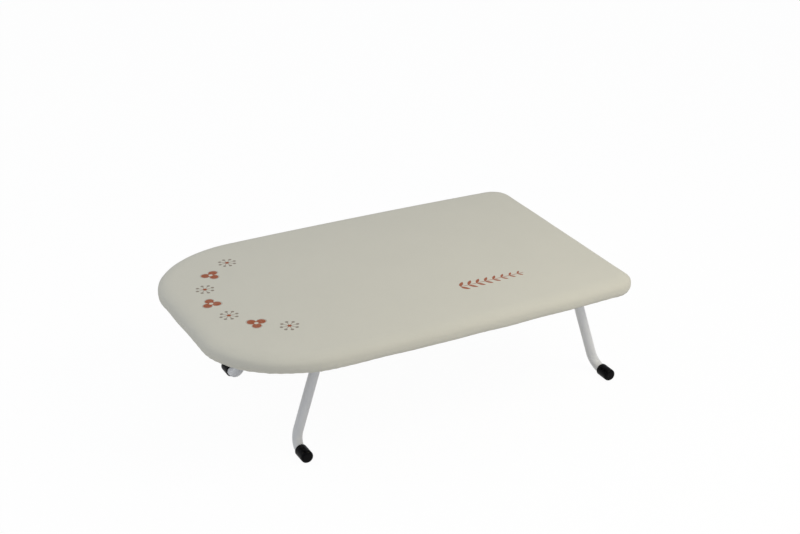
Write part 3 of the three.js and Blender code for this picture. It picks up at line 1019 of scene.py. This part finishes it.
# %% [markdown]
# ## Mesh top and ferrule
# The diamonds are right in the construction model, so the sheet stays, and so does the plug in the ends of
# the rim. Their cut edges are sharp there, though. A weld joins the corners that the file keeps apart, and a
# bevel rounds the edges as the thick coat does.

# %% Mesh top and ferrule
sharp_angle = math.radians(35)


def bevel_edges(piece, width):
    bevel = piece.modifiers.new("rounded_edges", "BEVEL")
    bevel.width = width
    bevel.segments = 2
    bevel.limit_method = "ANGLE"
    bevel.angle_limit = sharp_angle
    return bevel


def keep_node(name, finish, edge):
    """A construction node that stays, with its finish and rounded edges."""
    node = frame["nodes"][name]
    node.data.materials.clear()
    node.data.materials.append(finish)
    weld = node.modifiers.new("weld", "WELD")
    weld.merge_threshold = 0.01 * MM
    bevel_edges(node, edge)
    print("kept", name)


keep_node("mesh_top", mesh_coat, 0.35 * MM)
keep_node("rim_ferrule", bright_zinc, 0.4 * MM)

# %% [markdown]
# ## Rim tube
# One length of tube, bent to the outline, with its two ends meeting at the tail. A pipe is a section carried
# along a line: the outer wall out, the inner wall back, joined at both ends, so it is closed and hollow.

# %% Rim pipe
rim_joint = 0.6 * MM
rim_sides = 28
tube_wall = 1 * MM


def pipe(name, line, side, up, radius, sides, body, node):
    """A hollow tube. Side and up span its section at each point of the line."""
    section = round_section(side, up, sides)
    outer = line[:, None] + radius * section
    inner = line[:, None] + (radius - tube_wall) * section
    loops = np.concatenate([outer, inner[::-1]])
    faces = band_faces(len(loops), sides, joined=True)
    print(name, loops.shape[0] * sides, "points")
    return face_outward(add_piece(name, loops, faces, powder_coat, body, "powder_coat", node))


rim_line = closed(ring(rim_inset, rim_z))
rim_line[0, 1] -= rim_joint / 2
rim_line[-1, 1] += rim_joint / 2
rim_side = np.column_stack([closed(inward), np.zeros(len(rim_line))])
rim_up = np.tile([0.0, 0.0, 1.0], (len(rim_line), 1))
pipe("rim_pipe", rim_line, rim_side, rim_up, rim_radius, rim_sides, "board", "rim_tube")

# %% [markdown]
# ## Legs
# Each leg is one tube: a crossbar that turns in the clips, two sides, and two feet that turn outward. The
# bends of a real tube are slightly flattened, so the section is squeezed there, across the bend.

# %% Line of a leg
leg_splay = math.radians(17.5)
leg_spread = 171 * MM
bend_radius = 17 * MM
cap_end = 3 * MM
leans = {"nose": 1, "rear": -1}
joints = {joint["name"]: joint for joint in frame["record"]["behaviour"]["joints"]}


def leg_line(foot_y, length):
    """One leg in its own plane, across the board and down from the crossbar, and how bent it is there."""
    turn = np.linspace(0, np.pi / 2, 15)
    inner = bend_radius * (1 - np.sin(turn))
    outer = bend_radius * (1 - np.cos(turn))
    upper = np.column_stack([leg_spread / 2 - inner, -outer])
    lower = np.column_stack([leg_spread / 2 + outer, inner - length])
    half = np.vstack([upper, lower, [[foot_y - cap_end, -length]]])
    bent = np.concatenate([np.sin(2 * turn), np.sin(2 * turn), [0]])
    mirrored = half[::-1] * (-1, 1)
    return np.vstack([mirrored, half]), np.concatenate([bent[::-1], bent])


def pivot_of(end):
    return np.array(joints[f"{end}_leg_fold"]["pos_m"])


print("legs lean", round(math.degrees(leg_splay), 1), "degrees")

# %% Leg pipes
tube_radius = 6 * MM
bend_squeeze = 0.05
leg_sides = 32


def heading_along(line):
    """The unit direction of an open line at each of its points."""
    steps = unit(np.diff(line, axis=0))
    return unit(np.vstack([steps[:1], steps[1:] + steps[:-1], steps[-1:]]))


for end, lean in leans.items():
    cap_low, cap_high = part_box(f"foot_cap_{end}_far")
    foot_z = (cap_low.z + cap_high.z) / 2
    length = (pivot_of(end)[2] - foot_z) / math.cos(leg_splay)
    flat, bent = leg_line(cap_high.y, length)
    upward = np.array([lean * math.sin(leg_splay), 0, math.cos(leg_splay)])
    across = np.array([0.0, 1.0, 0.0])
    line = pivot_of(end) + flat[:, :1] * across + flat[:, 1:] * upward
    forward = np.tile(np.cross(across, upward), (len(line), 1))
    beside = np.cross(heading_along(line), forward) * (1 - bend_squeeze * bent)[:, None]
    pipe(f"{end}_leg_pipe", line, forward, beside, tube_radius, leg_sides, f"{end}_leg", f"leg_tube_{end}")

# %% [markdown]
# ## Foot caps
# Black caps pushed over the ends of the feet. A cap is a turned shape, so its profile is drawn once and
# carried round: a closed end with a broad rounding, a straight wall, a thin rolled lip at the mouth, and the
# bore that takes the tube.

# %% Foot caps
cap_radius = 7.4 * MM
cap_round = 3 * MM
cap_bore = 6.3 * MM
lip_round = 0.6 * MM
cap_sides = 48


def cap_profile(length):
    """Radius and place along the cap, from the middle of its closed end round to the bottom of its bore."""
    turn = np.linspace(0, np.pi / 2, 9)
    lip = np.linspace(0, np.pi, 9)
    lip_middle = (cap_radius + cap_bore) / 2
    lip_half = (cap_radius - cap_bore) / 2
    end = np.column_stack([np.linspace(0, cap_radius - cap_round, 5)[1:-1], np.full(3, length)])
    round_radius = cap_radius - cap_round * (1 - np.sin(turn))
    rounding = np.column_stack([round_radius, length - cap_round * (1 - np.cos(turn))])
    wall = np.column_stack([np.full(3, cap_radius), [0.6 * length, 0.25 * length, 2 * lip_round]])
    mouth = np.column_stack([lip_middle + lip_half * np.cos(lip), lip_round * (1 - np.sin(lip))])
    bottom = length - cap_end
    bore = [(cap_bore, 0.4 * length), (cap_bore, bottom), (0.5 * cap_bore, bottom)]
    return np.vstack([end, rounding, wall, mouth, bore])


def turned(name, profile, middle, axis, sides, finish, body, slot, node):
    """A piece turned round an axis. Its profile gives radius and place along the axis, from end to end."""
    axis = np.asarray(axis, float)
    side = np.array([1.0, 0, 0])
    circle = round_section(side[None], np.cross(axis, side)[None], sides)
    rings = np.asarray(middle) + profile[:, 1, None, None] * axis + profile[:, 0, None, None] * circle
    faces = band_faces(len(rings), sides) + end_faces(len(rings), sides)
    return face_outward(add_piece(name, rings, faces, finish, body, slot, node))


for end in leans:
    for side_name, way_out in (("near", -1), ("far", 1)):
        node = f"foot_cap_{end}_{side_name}"
        low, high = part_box(node)
        mouth = (low + high) / 2
        mouth.y = high.y if way_out < 0 else low.y
        profile = cap_profile(high.y - low.y)
        turned(f"{node}_moulded", profile, mouth, (0, way_out, 0), cap_sides, black_plastic, f"{end}_leg",
               "black_plastic", node)
print("four foot caps")

# %% [markdown]
# ## Bent strips
# The rails, the saddle clips and the leg stops are all bent from strip. So one helper takes the middle line
# of the bent strip, with its corners rounded as a press brake leaves them, and gives it thickness and width.
# The ends can be rounded across the width, and a bevel takes off the edges.

# %% Line of a bent strip
def rounded_path(corners, radius, steps=8):
    """A line through corner points, each inner corner rounded to a radius."""
    corners = np.asarray(corners, float)
    path = [corners[:1]]
    for before, here, after in zip(corners, corners[1:], corners[2:]):
        back = unit(before - here)
        on = unit(after - here)
        opening = math.acos(np.clip(back @ on, -1, 1))
        middle = here + unit(back + on) * radius / math.sin(opening / 2)
        cut = radius / math.tan(opening / 2)
        share = np.linspace(0, 1, steps)[:, None]
        spokes = (here + back * cut - middle) * (1 - share) + (here + on * cut - middle) * share
        path.append(middle + unit(spokes) * radius)
    return np.vstack([*path, corners[-1:]])


def round_ends(path, end_radius, steps=8):
    """Adds points near both ends, where the strip narrows to rounded corners, and how much it narrows."""
    shares = 1 - np.cos(np.linspace(0, np.pi / 2, steps))
    narrow = end_radius * (1 - np.sqrt(1 - (1 - shares) ** 2))
    heading = heading_along(path)
    start = path[0] + heading[0] * end_radius * shares[:, None]
    stop = path[-1] - heading[-1] * end_radius * shares[::-1, None]
    points = np.vstack([start, path[1:-1], stop])
    return points, np.concatenate([narrow, np.zeros(len(path) - 2), narrow[::-1]])


# %% Strip of a thickness and a width
def bent_strip(name, node, path, thickness, width, end_radius, place, lean=1):
    """A strip across the board: its path lies in X and Z, mirrored by lean, and its width along Y."""
    narrow = np.zeros(len(path))
    if end_radius:
        path, narrow = round_ends(path, end_radius)
    heading = heading_along(path)
    thick = np.column_stack([-heading[:, 1], heading[:, 0]]) * thickness / 2
    half = width / 2 - narrow
    corners = []
    for face_side, edge_side in ((1, -1), (1, 1), (-1, 1), (-1, -1)):
        line = path + face_side * thick
        corners.append(np.column_stack([line[:, 0] * lean, edge_side * half, line[:, 1]]))
    rings = np.stack(corners, axis=1) + np.asarray(place)
    faces = band_faces(len(rings), 4) + end_faces(len(rings), 4)
    strip = face_outward(add_piece(name, rings, faces, powder_coat, "board", "powder_coat", node))
    strip.data.set_sharp_from_angle(angle=sharp_angle)
    bevel_edges(strip, 0.25 * thickness).harden_normals = True


# %% [markdown]
# ## Rails
# Two channels lie across the board, welded into the rim, and carry the legs. A channel is a strip bent up
# twice, as long as the board is wide there, so its ends stay square.

# %% Rails
rail_wall = 1.2 * MM
rail_bend = 1.6 * MM
for end in leans:
    node = f"cross_rail_{end}"
    low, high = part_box(node)
    side_x = (high.x - low.x - rail_wall) / 2
    floor_z = low.z + rail_wall / 2
    corners = [(-side_x, high.z), (-side_x, floor_z), (side_x, floor_z), (side_x, high.z)]
    rail_path = rounded_path(corners, rail_bend)
    place = ((low.x + high.x) / 2, 0, 0)
    bent_strip(f"{end}_channel_rail", node, rail_path, rail_wall, high.y - low.y, 0, place)
print("two rails")

# %% [markdown]
# ## Clips and stops
# A saddle clip holds the crossbar of a leg up against its rail, and the crossbar turns in it. A stop is a
# tongue behind each side of the leg, on which the opened leg leans. Both are drawn about the crossbar and
# then set in their places along it.

# %% Clips and stops
clip_thickness = 1.5 * MM
clip_width = 16 * MM
clip_bore = 6.3 * MM
clip_bend = 1.4 * MM
clip_corner = 4 * MM
stop_thickness = 2 * MM
stop_width = 18 * MM
stop_length = 34 * MM
stop_bend = 3 * MM
stop_corner = 3 * MM
stop_gap = 0.3 * MM


def clip_path(flange):
    """Flange, round under the crossbar, flange. The crossbar is at the origin."""
    flange_z = tube_radius - clip_thickness / 2
    saddle = clip_bore + clip_thickness / 2
    start = rounded_path([(-flange, flange_z), (-saddle, flange_z), (-saddle, 0)], clip_bend)
    turn = np.linspace(np.pi, 2 * np.pi, 33)
    under = np.column_stack([saddle * np.cos(turn), saddle * np.sin(turn)])
    return np.vstack([start, under[1:-1], start[::-1] * (-1, 1)])


def stop_path(flange):
    """Flange on the rail, then down along the back of the opened leg, which leans to -X."""
    flange_z = tube_radius - stop_thickness / 2
    behind = tube_radius + stop_gap + stop_thickness / 2
    cosine, sine = math.cos(leg_splay), math.sin(leg_splay)
    along = (behind * sine - flange_z) / cosine
    corner_x = -behind * cosine - along * sine
    tip = (-behind * cosine - stop_length * sine, behind * sine - stop_length * cosine)
    return rounded_path([(-flange, flange_z), (corner_x, flange_z), tip], stop_bend)


for end, lean in leans.items():
    for side_name in ("near", "far"):
        which = f"{end}_{side_name}"
        low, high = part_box(f"pivot_clip_{which}")
        flange = (high.x - low.x) / 2
        place = pivot_of(end) + (0, (low.y + high.y) / 2, 0)
        bent_strip(f"saddle_clip_{which}", f"pivot_clip_{which}", clip_path(flange), clip_thickness,
                   clip_width, clip_corner, place)
        low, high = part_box(f"leg_stop_{which}")
        place = pivot_of(end) + (0, (low.y + high.y) / 2, 0)
        bent_strip(f"stop_tongue_{which}", f"leg_stop_{which}", stop_path(flange), stop_thickness,
                   stop_width, stop_corner, place, lean)
print("four clips and four stops")

# %% [markdown]
# ## Rivets
# Zinc-plated steel rivets with a domed head below and a flat closing head inside the rail. They are turned
# shapes, and each stays a piece of its own, on the place that its node has.

# %% Rivets
rivet_radius = 2 * MM
rivet_head_radius = 3.5 * MM
rivet_head_height = 2 * MM
rivet_tail_radius = 3 * MM
rivet_tail_height = 1 * MM
rivet_edge = 0.2 * MM
rivet_sides = 28


def rivet_profile(length):
    """From the top of the dome, which points down, to the closing head."""
    turn = np.linspace(0.08, np.pi / 2, 9)
    dome = np.column_stack([rivet_head_radius * np.sin(turn), rivet_head_height * (1 - np.cos(turn))])
    grip_start = rivet_head_height + 0.5 * rivet_edge
    grip_end = length - rivet_tail_height
    rest = [
        (rivet_head_radius - rivet_edge, grip_start),
        (rivet_radius, grip_start),
        (rivet_radius, grip_end),
        (rivet_tail_radius - rivet_edge, grip_end),
        (rivet_tail_radius, grip_end + rivet_edge),
        (rivet_tail_radius, length - rivet_edge),
        (rivet_tail_radius - rivet_edge, length),
        (0.3 * rivet_tail_radius, length),
    ]
    return np.vstack([dome, rest])


rivet_nodes = [name for name in frame["nodes"] if "rivet" in name]
for name in rivet_nodes:
    low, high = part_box(name)
    foot = ((low.x + high.x) / 2, (low.y + high.y) / 2, low.z)
    profile = rivet_profile(high.z - low.z)
    turned(f"{name}_domed", profile, foot, (0, 0, 1), rivet_sides, bright_zinc, "board", "zinc", name)
print(len(rivet_nodes), "rivets")
